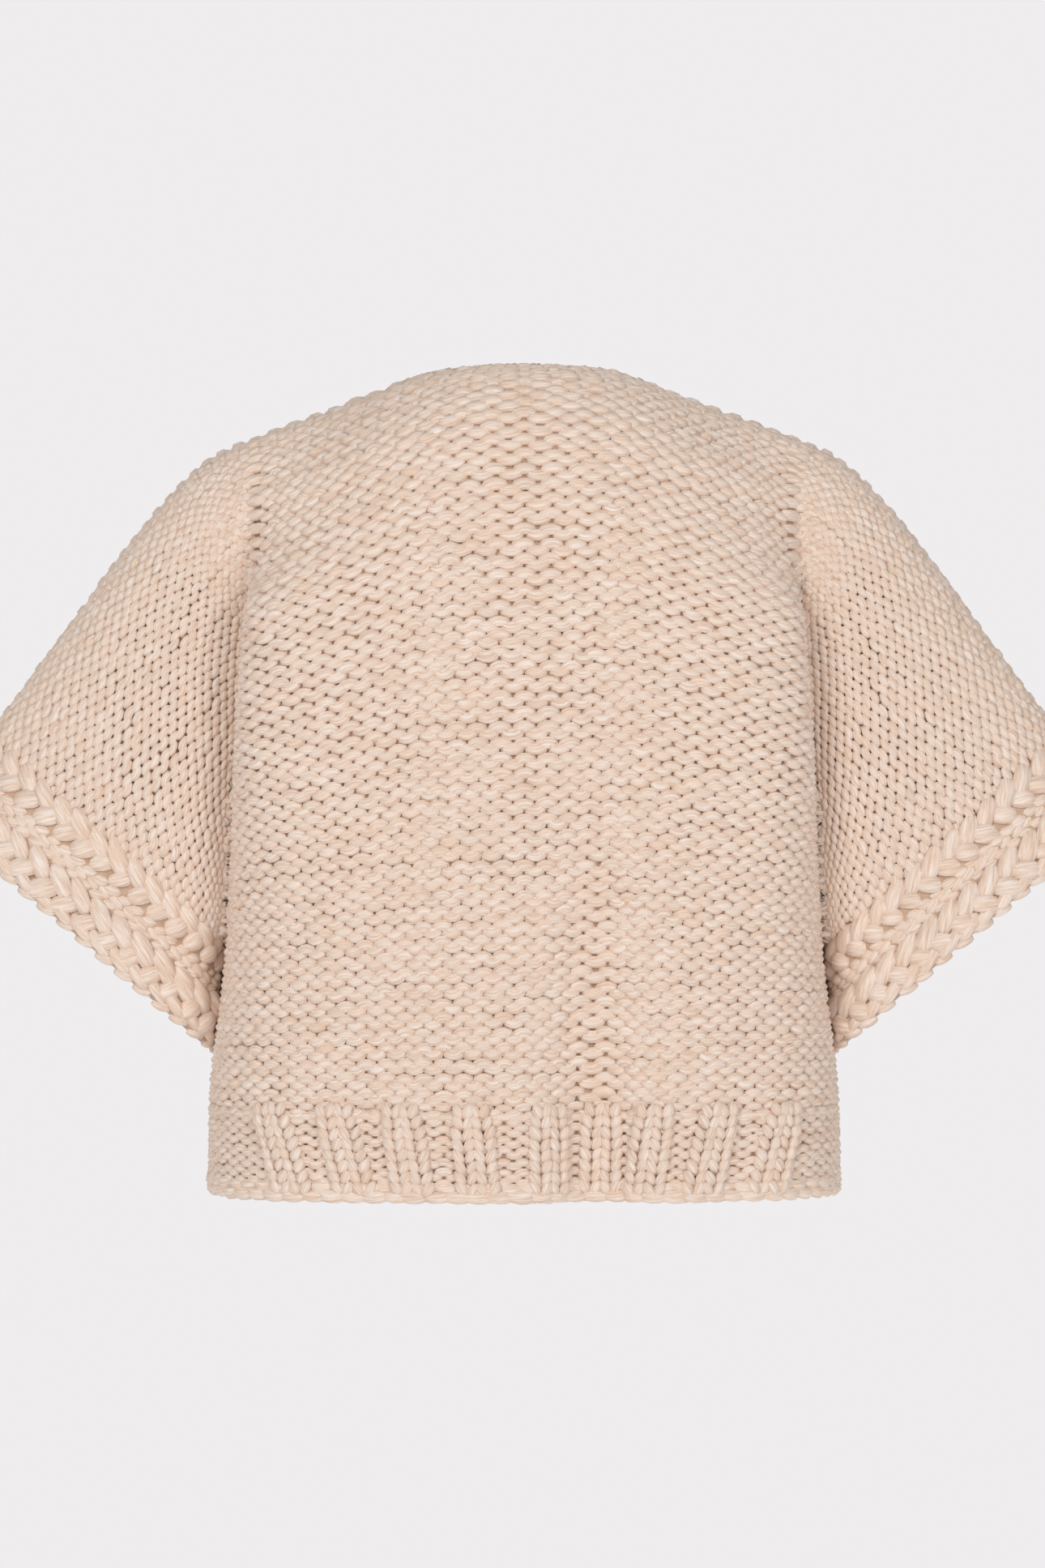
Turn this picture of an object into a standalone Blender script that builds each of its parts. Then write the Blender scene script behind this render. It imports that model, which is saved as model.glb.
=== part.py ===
"""A short, super-chunky cardigan with dolman sleeves, open at the front and held out by a wearer.

Millimetres in the tables, metres in the meshes. +Z is up, the back faces -Y, the wearer's right is
+X. The origin lies between the shoulders, at the height where the shoulder line meets the neck.
Back and fronts are walls with their sleeve halves grown on; cuffs and hem ribs are bands of their
own, with plaits and ribs raised in the outer face over a plain inside.
"""

from collections import Counter

import bpy
import numpy as np

MM = 0.001
BACK, FRONT = -1, 1
LEFT, RIGHT = -1, 1

WALL = 8.0  # thickness of the purl fabric
BAND_WALL = 8.0  # thickness of ribs and plaits where they are thinnest
SEAM = 0.3  # gap between neighbouring pieces
CREST_TOP = 6.6  # height of the back neck
CREST_SIDE = -35.0  # height of the shoulder line above the armhole
RIB_TOP = -445.0  # where the purl fabric meets the hem rib
HEM = -500.0  # lowest edge
UNDERARM = -355.0
HALF_SHOULDER = 168.5  # from the centre to the armhole line at the shoulder
ROW_DROOP = 1.3  # how quickly the rows straighten from the shoulders down
UNDERARM_SHARE = (UNDERARM - RIB_TOP) / (CREST_SIDE - RIB_TOP)
SQUARENESS = 2.8  # exponent of the body's rounded section
WALL_TURN = 12.0  # degrees that the back curls in past its widest point at the armhole

# Top outline, seen from behind: the neck, the shoulder, then the ridge along the upper arm.
CREST = np.array(
    [  # from_centre, height
        (0.0, 6.6), (25.0, 6.3), (53.5, 4.0), (76.5, -1.6), (90.0, -6.2), (113.5, -14.5),
        (143.5, -25.0), (157.0, -30.2), (168.5, -35.0), (186.5, -42.5), (200.0, -51.0),
        (225.0, -76.0), (252.5, -110.0), (287.5, -158.5), (322.5, -205.0), (331.0, -216.5),
    ]
)
# The body's side, from the hem to the shoulder. Folded is 1 where the body's side folds in
# under the arm and 0 where the cloth runs smoothly over the shoulder; curled is how fully it
# turns in past its widest point there.
SIDE = np.array(
    [  # height, half_width, depth_of_armhole_line, folded, curled
        (-500.0, 192.0, 0.0, 1.0, 0.0),
        (-485.0, 195.0, 0.0, 1.0, 0.0),
        (-445.0, 194.5, 0.0, 1.0, 0.0),
        (-410.0, 191.5, 0.0, 1.0, 0.0),
        (-355.0, 185.0, 0.0, 1.0, 0.0),
        (-342.0, 184.0, 17.0, 1.0, 0.05),
        (-315.0, 182.0, 29.0, 1.0, 0.3),
        (-265.0, 178.5, 36.0, 1.0, 0.8),
        (-215.0, 176.0, 41.0, 1.0, 1.0),
        (-150.0, 171.5, 46.0, 1.0, 1.0),
        (-110.0, 169.0, 49.0, 0.5, 1.0),
        (-80.0, 168.5, 49.0, 0.1, 1.0),
        (-60.0, 168.5, 43.0, 0.0, 1.0),
        (-48.0, 168.5, 34.0, 0.0, 1.0),
        (-40.0, 168.5, 22.0, 0.0, 1.0),
        (-35.0, 168.5, 0.0, 0.0, 1.0),
    ]
)
# How far the cloth stands out behind and in front of the shoulder plane, at the middle.
DEPTH = np.array(
    [  # height, behind, in_front
        (-500.0, 108.0, 101.0),
        (-400.0, 110.0, 106.0),
        (-300.0, 114.0, 108.0),
        (-220.0, 117.0, 106.0),
        (-150.0, 117.0, 97.0),
        (-90.0, 114.0, 80.0),
        (-50.0, 109.0, 58.0),
        (-25.0, 101.0, 34.0),
        (-8.0, 88.0, 4.0),
        (1.5, 75.0, -30.0),
        (6.6, 60.0, -60.0),
    ]
)
# The fronts' free edges: share of the way from the rib to the shoulder, distance from centre.
FRONT_EDGE = np.array(
    [  # share, from_centre
        (0.0, 24.0), (0.2, 24.5), (0.45, 29.0), (0.65, 38.0), (0.8, 51.0), (0.9, 64.0),
        (0.96, 74.0), (1.0, 79.0),
    ]
)
# Soft troughs that run down the body to the hem.
TROUGHS = np.array(
    [  # face, from_centre, top, depth_at_hem, width_at_top, width_at_hem
        (BACK, 41.5, -250.0, 15.0, 12.0, 23.0),
        (BACK, -98.0, -330.0, 3.5, 14.0, 20.0),
        (BACK, 128.0, -350.0, 3.0, 12.0, 16.0),
        (FRONT, 96.0, -240.0, 7.0, 14.0, 24.0),
        (FRONT, -104.0, -280.0, 6.0, 12.0, 22.0),
    ]
)

CUFF_TOP = (331.0, -216.5)  # ridge end of the line where sleeve and cuff meet
CUFF_UNDER = (191.0, -351.5)  # its underarm end
CUFF_EDGE_TOP = (371.0, -264.5)  # the same for the cuff's free edge
CUFF_EDGE_UNDER = (202.0, -411.0)
CUFF_HALF_DEPTH = 46.0
CUFF_EDGE_HALF_DEPTH = 50.0
CUFF_SQUARENESS = 2.2
ARM_BULGE = 9.0  # how much rounder than a straight loft the sleeve is

STROKES = 28  # slanted strands round each ply of a plait
# Across the cuff: share of its width, height of the plait, its ripple, ripple's shift in strokes.
PLAIT = np.array(
    [  # share, raised, ripple, shift
        (0.000, 0.0, 0.0, 0.0),
        (0.100, 3.2, 1.6, 0.0),
        (0.200, 1.8, 0.4, 0.3),
        (0.300, 3.2, 1.6, 0.6),
        (0.410, 0.0, 0.0, 0.0),
        (0.530, 0.0, 0.0, 0.0),
        (0.630, 3.2, 1.6, 0.1),
        (0.730, 1.8, 0.4, 0.4),
        (0.830, 3.2, 1.6, 0.7),
        (0.940, 0.6, 0.3, 0.0),
        (1.000, 0.0, 0.0, 0.0),
    ]
)
CUFF_WIDTH = 64.5
UNDERARM_CLEAR = 0.13  # share of the way round over which the plait flattens by the body
NECK_BLEND = (45.0, 70.0)  # from the centre: the back's top edge turns square to the seam
NECK_END = 79.0  # from the centre: where the shoulder seam begins
ARMPIT_REGION = -60.0  # below this the inner faces are kept off the seam plane

BODY_COLUMNS = 14
SLEEVE_STATIONS = 8
SIDE_HEIGHTS = (
    -445, -422, -400, -377, -355, -342, -327, -308, -286, -262, -238, -213, -188, -165, -143,
    -122, -103, -86, -72, -60, -50, -42, -37.5, -35,
)

RIB_RAISED = 3.5
# Middles of the back's ribs, from its centre towards the wearer's right.
BACK_RIBS = (-147.0, -108.0, -70.5, -29.5, 15.5, 46.5, 74.5, 112.0, 152.5)
FRONT_RIBS = (21.5, 62.5, 103.5, 144.5)  # the same for a front, from its free edge
# One rib: distance from its middle along the hem, share of its height.
RIB = np.array([(-13.5, 0.0), (-7.8, 1.0), (7.8, 1.0), (13.5, 0.0)])
HEM_ROWS = ((-500.0, 0.2), (-494.0, 1.0), (-473.0, 1.0), (-453.0, 1.0), (-445.3, 0.3))


def smooth(at, table, column=1, key=0):
    """Value of a table's column at a key, on a curve that never overshoots between its rows."""
    order = np.argsort(table[:, key])
    x, y = table[order, key], table[order, column]
    step, rise = np.diff(x), np.diff(y)
    slope = rise / step
    bend = slope[:-1] * slope[1:]
    middle = np.where(bend > 0, 2 * bend / np.where(bend > 0, slope[:-1] + slope[1:], 1), 0)
    tangent = np.concatenate([slope[:1], middle, slope[-1:]])
    at = np.clip(at, x[0], x[-1])
    i = np.clip(np.searchsorted(x, at) - 1, 0, len(step) - 1)
    u = (at - x[i]) / step[i]
    return (
        y[i] * (1 + 2 * u) * (1 - u) ** 2
        + y[i + 1] * u * u * (3 - 2 * u)
        + step[i] * tangent[i] * u * (1 - u) ** 2
        - step[i] * tangent[i + 1] * u * u * (1 - u)
    )


def power(base, exponent):
    """A signed power, for superellipses."""
    return np.sign(base) * np.abs(base) ** exponent


def row_heights(share):
    """Heights of a row at the centre and at the armhole line; share runs from rib to shoulder."""
    side = RIB_TOP + (CREST_SIDE - RIB_TOP) * share
    droop = (CREST_TOP - CREST_SIDE) * np.clip(share, 0, 1) ** ROW_DROOP
    return side + droop, side


def body(share, across, face, hand):
    """Point of the outer face. Across runs from 0 at the centre to 1 at the armhole or side seam.

    The section is a quarter superellipse that curls past its widest point where the side folds
    in, blended over the shoulder into a cosine hump. Heights follow the row, which droops from
    the centre to the side as the top outline does.
    """
    share, across = np.broadcast_arrays(share, across)
    middle_height, side_height = row_heights(share)
    half_width = smooth(side_height, SIDE, 1)
    line_depth = smooth(side_height, SIDE, 2)
    folded = smooth(side_height, SIDE, 3)
    depth = smooth(middle_height, DEPTH, 1 if face == BACK else 2)
    bend = 2 / SQUARENESS
    past = np.sin(np.radians(WALL_TURN) * folded) ** bend
    centre = smooth(side_height, SIDE, 4) * (line_depth + past * depth) / (1 + past)
    turn = np.arccos(power((line_depth - centre) / (depth - centre), 1 / bend))
    angle = across * turn
    folded_x = half_width * power(np.sin(angle), bend)
    folded_out = centre + (depth - centre) * power(np.cos(angle), bend)
    end_x = half_width * power(np.sin(turn), bend)
    hump = 0.9 + 2.6 * np.clip((share - 0.88) / 0.12, 0, 1) ** 2
    lying = np.clip(np.cos(np.pi / 2 * across), 0, 1) ** hump
    open_out = line_depth + (depth - line_depth) * lying
    x = folded * folded_x + (1 - folded) * end_x * across
    y = face * (folded * folded_out + (1 - folded) * open_out)
    crest = smooth(np.clip(x / end_x, 0, 1) * HALF_SHOULDER, CREST)
    drop = (CREST_TOP - crest) / (CREST_TOP - CREST_SIDE)
    z = middle_height + (side_height - middle_height) * drop
    x = x * hand
    for side, place, top, deep, narrow, wide in TROUGHS:
        if side == face:
            down = np.clip((top - z) / (top - HEM), 0, 1)
            width = narrow + (wide - narrow) * down
            y = y - face * deep * down * np.exp(-(((x - place) / width) ** 2))
    return np.stack([x, y, z], axis=-1)


def armhole(share, face, hand):
    return body(share, np.ones_like(share), face, hand)


def ring(top, under, half_depth, turn, hand):
    """Superellipse whose long axis runs from the ridge to the underarm; turn 0 is the ridge."""
    top, under = np.array(top), np.array(under)
    middle, long_half = (top + under) / 2, (top - under) / 2
    bend = 2 / CUFF_SQUARENESS
    along, out = power(np.cos(turn), bend), power(np.sin(turn), bend)
    return np.stack(
        [
            (middle[0] + long_half[0] * along) * hand,
            -half_depth * out,
            middle[1] + long_half[1] * along,
        ],
        axis=-1,
    )


def travelled(points):
    """Distance along a line of points, as shares of its length, and that length."""
    steps = np.linalg.norm(np.diff(points, axis=0), axis=1)
    distance = np.concatenate([[0], np.cumsum(steps)])
    return distance / distance[-1], distance[-1]


def spread(points, shares):
    """Points at shares of the way along a line of points."""
    done, _ = travelled(points)
    return np.stack([np.interp(shares, done, points[:, k]) for k in range(3)], axis=-1)


def cuff_line(shares, face, hand):
    """The line where sleeve meets cuff, from ridge to underarm, by shares of its length."""
    turn = np.linspace(0, np.pi, 400) * -face
    return spread(ring(CUFF_TOP, CUFF_UNDER, CUFF_HALF_DEPTH, turn, hand), shares)


def sleeve(shares, station, face, hand):
    """Loft from the armhole line (station 0) to the cuff line (1); shares are of body rows.

    Each strand runs straight between points equally far round the two lines, then is lifted to
    the outline's ridge and rounded out like an arm.
    """
    start = armhole(shares, face, hand)
    down = np.linspace(1, UNDERARM_SHARE, 400)
    done, _ = travelled(armhole(down, face, hand))
    round_it = np.interp(-shares, -down, done)
    end = cuff_line(round_it, face, hand)
    ridge_x = HALF_SHOULDER + (CUFF_TOP[0] - HALF_SHOULDER) * station
    straight = CREST_SIDE + (CUFF_TOP[1] - CREST_SIDE) * station
    lift = (smooth(ridge_x, CREST) - straight) * (1 - round_it) ** 1.6
    bulge = ARM_BULGE * np.sin(np.pi * station) * np.sin(np.pi * round_it)
    points = start * (1 - station) + end * station
    points[..., 1] += face * bulge
    points[..., 2] += lift
    return points


def grid_faces(rows, columns, first=0):
    """Quads of a grid of points, as point numbers."""
    number = first + np.arange(rows * columns).reshape(rows, columns)
    corners = [number[:-1, :-1], number[:-1, 1:], number[1:, 1:], number[1:, :-1]]
    return np.stack(corners, axis=-1).reshape(-1, 4)


def join_grids(grids):
    """One list of points and quads from grids of points, with points that coincide made one."""
    points, faces, count = [], [], 0
    for grid in grids:
        points.append(grid.reshape(-1, 3))
        faces.append(grid_faces(*grid.shape[:2], count))
        count += grid.shape[0] * grid.shape[1]
    points, faces = np.concatenate(points), np.concatenate(faces)
    _, first, same = np.unique(
        np.round(points, 3), axis=0, return_index=True, return_inverse=True
    )
    return points[first], same.reshape(-1)[faces]


def face_normals(points, faces):
    corner = points[faces]
    return np.cross(corner[:, 2] - corner[:, 0], corner[:, 3] - corner[:, 1])


def point_normals(points, faces):
    total = np.zeros_like(points)
    np.add.at(total, faces, np.repeat(face_normals(points, faces)[:, None], 4, axis=1))
    return total / np.maximum(np.linalg.norm(total, axis=1, keepdims=True), 1e-9)


def rim_edges(faces):
    """Directed edges that only one face has."""
    edges = [
        (int(face[k]), int(face[(k + 1) % 4])) for face in faces for k in range(4)
    ]
    uses = Counter(tuple(sorted(edge)) for edge in edges)
    return [edge for edge in edges if uses[tuple(sorted(edge))] == 1]


def drop_along(normals, chosen, direction):
    """Turns chosen normals square to a direction, so that a cut edge lies in its plane."""
    direction = np.array(direction) / np.linalg.norm(direction)
    normals[chosen] -= (normals[chosen] @ direction)[:, None] * direction
    normals[chosen] /= np.linalg.norm(normals[chosen], axis=1, keepdims=True)


def make_object(name, points, faces, material):
    mesh = bpy.data.meshes.new(name)
    mesh.from_pydata((np.array(points) * MM).tolist(), [], faces)
    mesh.materials.append(material)
    mesh.shade_smooth()
    mesh.update()
    made = bpy.data.objects.new(name, mesh)
    bpy.context.scene.collection.objects.link(made)
    made.parent = bpy.data.objects["wearer_shoulders"]
    return made


def make_wall(name, points, faces, inner, material):
    """A closed wall between an outer face and its inner points, rimmed where it is cut."""
    count = len(points)
    rims = [(b, a, a + count, b + count) for a, b in rim_edges(faces)]
    inside = (faces[:, ::-1] + count).tolist()
    return make_object(
        name, np.concatenate([points, inner]), faces.tolist() + inside + rims, material
    )


def yarn(name, colour):
    """Brushed, unspun wool: matt all over."""
    material = bpy.data.materials.new(name)
    material.use_nodes = True
    shader = material.node_tree.nodes["Principled BSDF"]
    shader.inputs["Base Color"].default_value = (*colour, 1)
    shader.inputs["Roughness"].default_value = 0.95
    shader.inputs["Metallic"].default_value = 0.0
    return material


def row_shares():
    return (np.array(SIDE_HEIGHTS, float) - RIB_TOP) / (CREST_SIDE - RIB_TOP)


def body_line(share, face, hand, count=300):
    """A row's points from the centre, or the front's free edge, to the armhole or side seam."""
    across = np.linspace(0, 1, count)
    line = body(share, across, face, hand)
    if face == FRONT:
        edge = smooth(share, FRONT_EDGE)
        widening = slice(0, count * 9 // 10)
        start = np.interp(edge, np.abs(line[widening, 0]), across[widening])
        line = body(share, np.linspace(start, 1, count), face, hand)
    return line


def panel_grids(face, hand):
    """The body's and the sleeve's grids of one half of a panel, wound to face outwards."""
    shares = row_shares()
    columns = np.linspace(0, 1, BODY_COLUMNS)
    trunk = np.array([spread(body_line(share, face, hand), columns) for share in shares])
    upper = shares[shares > UNDERARM_SHARE - 1e-6]
    stations = np.linspace(0, 1, SLEEVE_STATIONS)
    arm = np.stack([sleeve(upper, station, face, hand) for station in stations], axis=1)
    arm[:, 0] = trunk[-len(upper) :, -1]
    if face * hand == BACK * RIGHT:
        return [trunk, arm]
    return [trunk[:, ::-1], arm[:, ::-1]]


def crest_normals(points):
    """Normals square to the top outline, in the plane of the picture."""
    from_centre = np.abs(points[:, 0])
    rise = smooth(from_centre + 0.5, CREST) - smooth(from_centre - 0.5, CREST)
    normals = np.stack([-rise * np.sign(points[:, 0]), 0 * rise, 1 + 0 * rise], axis=-1)
    return normals / np.linalg.norm(normals, axis=1, keepdims=True)


def cut_square(points, normals):
    """Turns the normals at seams and lower edges into the plane of the cut."""
    from_centre = np.abs(points[:, 0])
    crest = np.abs(points[:, 2] - smooth(from_centre, CREST)) < 0.02
    start, end = NECK_BLEND
    share = np.clip((from_centre[crest, None] - start) / (end - start), 0, 1)
    mixed = normals[crest] * (1 - share) + crest_normals(points[crest]) * share
    normals[crest] = mixed / np.linalg.norm(mixed, axis=1, keepdims=True)
    shoulder = crest & (from_centre > NECK_END - 0.01)
    side = (np.abs(points[:, 1]) < 1e-6) & ~crest
    drop_along(normals, side, (0, 1, 0))
    drop_along(normals, np.abs(points[:, 2] - RIB_TOP) < 0.01, (0, 0, 1))
    for hand in (LEFT, RIGHT):
        square = cuff_square(hand)
        off = (points - np.array([CUFF_TOP[0] * hand, 0, CUFF_TOP[1]])) @ square
        on_line = (np.abs(off) < 0.01) & (points[:, 0] * hand > CUFF_UNDER[0] - 0.01)
        drop_along(normals, on_line, square)
    return shoulder | side


def cuff_square(hand):
    """Unit vector square to the plane where sleeve and cuff meet, pointing down the arm."""
    run, fall = CUFF_TOP[0] - CUFF_UNDER[0], CUFF_TOP[1] - CUFF_UNDER[1]
    return np.array([fall * hand, 0, -run]) / np.hypot(run, fall)


def panel(name, face, hands, material):
    """A knitted panel: body with its sleeve halves, cut square at its seams and lower edge."""
    points, faces = join_grids([grid for hand in hands for grid in panel_grids(face, hand)])
    normals = point_normals(points, faces)
    seam = cut_square(points, normals)
    inner = points - normals * WALL
    points[seam, 1] += face * SEAM / 2
    crossing = (face * inner[:, 1] < SEAM / 2) & (points[:, 2] < ARMPIT_REGION)
    inner[crossing, 1] = face * SEAM / 2
    inner[seam, 1] = points[seam, 1]
    return make_wall(name, points, faces, inner, material)


def rib_columns(length, middles):
    """Where a rib band needs points along its length, as shares, and how high each is raised."""
    places = (np.asarray(middles)[:, None] + RIB[:, 0]).ravel()
    raised = np.tile(RIB[:, 1], len(middles)) * RIB_RAISED
    places = np.concatenate([[0], places, [length]])
    return places / length, np.concatenate([[0], raised, [0]])


def hem_band(name, face, hands, material):
    """A rib band: the body's section carried on down, with broad ribs raised in its outer face."""
    rows = []
    for height, _ in HEM_ROWS:
        share = (height - RIB_TOP) / (CREST_SIDE - RIB_TOP)
        halves = [body_line(share, face, hand) for hand in hands]
        rows.append(halves[0] if face == FRONT else np.concatenate([halves[0][:0:-1], halves[1]]))
    done, length = travelled(rows[-2])
    middles = FRONT_RIBS if face == FRONT else np.interp(BACK_RIBS, rows[-2][:, 0], done * length)
    shares, raised = rib_columns(length, middles)
    base = np.array([spread(line, shares) for line in rows])
    if face * hands[-1] == FRONT * RIGHT:
        base, raised = base[:, ::-1], raised[::-1]
    points, faces = base.reshape(-1, 3), grid_faces(*base.shape[:2])
    normals = point_normals(points, faces)
    drop_along(normals, np.isin(points[:, 2], points[[0, -1], 2]), (0, 0, 1))
    seam = np.abs(points[:, 1]) < 1e-6
    drop_along(normals, seam, (0, 1, 0))
    inner = points - normals * BAND_WALL
    strength = np.array([row[1] for row in HEM_ROWS])
    points = points + normals * (strength[:, None] * raised).reshape(-1, 1)
    points[seam, 1] += face * SEAM / 2
    inner[seam, 1] = points[seam, 1]
    return make_wall(name, points, faces, inner, material)


def cuff(name, hand, material):
    """A plaited tube on the sleeve's end: two braids side by side, raised over a plain inside."""
    columns = 3 * STROKES
    turn = np.linspace(0, 2 * np.pi, 1200)
    top = ring(CUFF_TOP, CUFF_UNDER, CUFF_HALF_DEPTH, turn, hand)
    edge = ring(CUFF_EDGE_TOP, CUFF_EDGE_UNDER, CUFF_EDGE_HALF_DEPTH, turn, hand)
    round_it = np.arange(columns) / columns
    top, edge = spread(top, round_it), spread(edge, round_it)
    share, height, ripple, shift = PLAIT.T
    share = np.maximum(share, SEAM / CUFF_WIDTH)
    base = top + share[:, None, None] * (edge - top)
    wrapped = np.concatenate([base, base[:, :1]], axis=1)
    if hand == RIGHT:
        wrapped = wrapped[:, ::-1]
    points, faces = join_grids([wrapped])
    found = point_normals(points, faces)
    order = {tuple(place): i for i, place in enumerate(np.round(points, 3))}
    pick = [order[tuple(place)] for place in np.round(base.reshape(-1, 3), 3)]
    normals = found[pick]
    first_row = np.arange(columns)
    drop_along(normals, first_row, cuff_square(hand))
    waves = np.cos(2 * np.pi * (STROKES * round_it + shift[:, None]))
    clear = 1 - np.exp(-(((round_it - 0.5) / UNDERARM_CLEAR) ** 2))
    raised = ((height[:, None] + ripple[:, None] * waves) * clear).reshape(-1, 1)
    flat = base.reshape(-1, 3)
    outer = (flat + normals * raised).reshape(len(share), columns, 3)
    inner = (flat - normals * BAND_WALL).reshape(len(share), columns, 3)[[0, 5, -1]]
    return make_tube(name, outer, inner, hand == RIGHT, material)


def make_tube(name, outer, inner, flip, material):
    """A closed tube wall from rings of points; both ends are rimmed."""
    rings = np.concatenate([outer, inner[::-1], outer[:1]])
    count = len(rings) - 1
    columns = rings.shape[1]
    number = np.arange(count * columns).reshape(count, columns)
    number = np.concatenate([number, number[:1]])
    following = np.roll(number, -1, axis=1)
    faces = np.stack(
        [number[:-1], following[:-1], following[1:], number[1:]], axis=-1
    ).reshape(-1, 4)
    if flip:
        faces = faces[:, ::-1]
    return make_object(name, rings[:-1].reshape(-1, 3), faces.tolist(), material)


def main():
    for old in list(bpy.data.objects):
        bpy.data.objects.remove(old, do_unlink=True)
    holder = bpy.data.objects.new("wearer_shoulders", None)
    bpy.context.scene.collection.objects.link(holder)
    purl = yarn("purl_knit", (0.78, 0.62, 0.48))
    ribbed = yarn("rib_knit", (0.76, 0.60, 0.46))
    plaited = yarn("plaited_band", (0.80, 0.64, 0.50))
    panel("back", BACK, (LEFT, RIGHT), purl)
    panel("front_left", FRONT, (LEFT,), purl)
    panel("front_right", FRONT, (RIGHT,), purl)
    hem_band("hem_back", BACK, (LEFT, RIGHT), ribbed)
    hem_band("hem_front_left", FRONT, (LEFT,), ribbed)
    hem_band("hem_front_right", FRONT, (RIGHT,), ribbed)
    cuff("cuff_left", LEFT, plaited)
    cuff("cuff_right", RIGHT, plaited)


main()
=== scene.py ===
"""A short, super-chunky cardigan with dolman sleeves, seen from behind, filled out as worn.

Surfaces are worked out in millimetres and turned to metres when they become meshes. +Z is up, the
back faces -Y, the wearer's right is +X. Every piece of cloth has a thin core on its solid's form,
coloured darker and browner as painted shade where it shows between the strands, and over it the
knitting itself: courses of purl stitches as one thick yarn each, and plaits, ribs and edges as fat
slanted strands. Rows are counted down from the shoulder line, stitches outwards from the centre,
and both may be fractions.
"""

import bpy
import numpy as np
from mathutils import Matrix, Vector


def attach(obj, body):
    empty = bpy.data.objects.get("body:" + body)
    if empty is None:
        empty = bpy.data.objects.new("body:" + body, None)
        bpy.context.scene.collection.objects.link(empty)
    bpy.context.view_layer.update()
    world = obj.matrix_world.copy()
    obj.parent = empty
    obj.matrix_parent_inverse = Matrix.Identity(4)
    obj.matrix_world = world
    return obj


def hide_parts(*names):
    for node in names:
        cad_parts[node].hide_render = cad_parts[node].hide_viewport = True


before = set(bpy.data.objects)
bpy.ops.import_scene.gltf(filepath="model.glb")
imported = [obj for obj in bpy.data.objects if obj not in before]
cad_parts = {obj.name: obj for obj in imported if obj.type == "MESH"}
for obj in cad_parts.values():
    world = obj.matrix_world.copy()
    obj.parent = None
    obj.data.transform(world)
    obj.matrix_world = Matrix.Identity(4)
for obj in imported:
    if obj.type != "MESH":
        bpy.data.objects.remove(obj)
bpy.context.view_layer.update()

MM = 0.001
BACK, FRONT = -1, 1
LEFT, RIGHT = -1, 1

# ---------------- the cardigan's own sizes

CREST_TOP = 6.6  # height of the back neck
CREST_SIDE = -35.0  # height of the shoulder line above the armhole
RIB_TOP = -445.0  # where the purl fabric meets the hem rib
HEM = -500.0  # lowest edge
UNDERARM = -355.0  # where the sleeve leaves the side of the body
HALF_SHOULDER = 168.5  # from the centre to the armhole line at the shoulder
UNDERARM_SHARE = (UNDERARM - RIB_TOP) / (CREST_SIDE - RIB_TOP)
SQUARENESS = 2.8  # exponent of the body's rounded section
WALL_TURN = 12.0  # degrees that the back curls in past its widest point at the armhole

# Top outline, seen from behind: the neck, the shoulder, then the ridge along the upper arm.
CREST = np.array(
    [  # from_centre, height
        (0, 6.6), (25, 6.3), (53.5, 4), (76.5, -1.6), (90, -6.2), (113.5, -14.5),
        (143.5, -25), (157, -30.2), (168.5, -35), (186.5, -42.5), (200, -51),
        (225, -76), (252.5, -110), (287.5, -158.5), (322.5, -205), (331, -216.5),
    ]
)
SIDE = np.array(
    [  # height, half_width, depth_of_armhole_line, folded, curled
        (-500, 192, 0, 1, 0),
        (-485, 195, 0, 1, 0),
        (-445, 194.5, 0, 1, 0),
        (-410, 191.5, 0, 1, 0),
        (-355, 185, 0, 1, 0),
        (-342, 184, 17, 1, 0.05),
        (-315, 182, 29, 1, 0.3),
        (-265, 178.5, 36, 1, 0.8),
        (-215, 176, 41, 1, 1),
        (-150, 171.5, 46, 1, 1),
        (-110, 169, 49, 0.5, 1),
        (-80, 168.5, 49, 0.1, 1),
        (-60, 168.5, 43, 0, 1),
        (-48, 168.5, 34, 0, 1),
        (-40, 168.5, 22, 0, 1),
        (-35, 168.5, 0, 0, 1),
    ]
)
# How far the cloth stands out behind and in front of the shoulder plane, at the middle.
DEPTH = np.array(
    [  # height, behind, in_front
        (-500, 108, 101),
        (-400, 110, 106),
        (-300, 114, 108),
        (-220, 117, 106),
        (-150, 117, 97),
        (-90, 114, 80),
        (-50, 109, 58),
        (-25, 101, 34),
        (-8, 88, 4),
        (1.5, 75, -30),
        (6.6, 60, -60),
    ]
)
FRONT_EDGE = np.array(
    [  # share, from_centre
        (0, 24), (0.2, 24.5), (0.45, 29), (0.65, 38), (0.8, 51), (0.9, 64),
        (0.96, 74), (1, 79),
    ]
)
TROUGHS = np.array(
    [  # face, from_centre, top, depth_at_hem, width_at_top, width_at_hem
        (BACK, 41.5, -235, 22, 15, 26),
        (BACK, -98, -330, 3.5, 14, 20),
        (BACK, 128, -350, 3, 12, 16),
        (FRONT, 96, -240, 7, 14, 24),
        (FRONT, -104, -280, 6, 12, 22),
    ]
)
CUFF_TOP = (331.0, -216.5)  # ridge end of the line where sleeve and cuff meet
CUFF_UNDER = (186.0, -350.5)  # its underarm end
CUFF_EDGE_TOP = (371.0, -264.5)  # the same for the cuff's free edge
CUFF_EDGE_UNDER = (188.0, -417.0)
CUFF_HALF_DEPTH = 46.0
CUFF_EDGE_HALF_DEPTH = 50.0
CUFF_SQUARENESS = 2.2
ARM_BULGE = 9.0  # how much rounder than a straight loft the sleeve is
NECK_END = 79.0  # from the centre: where the shoulder seam begins

# ---------------- the knitting's sizes

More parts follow.
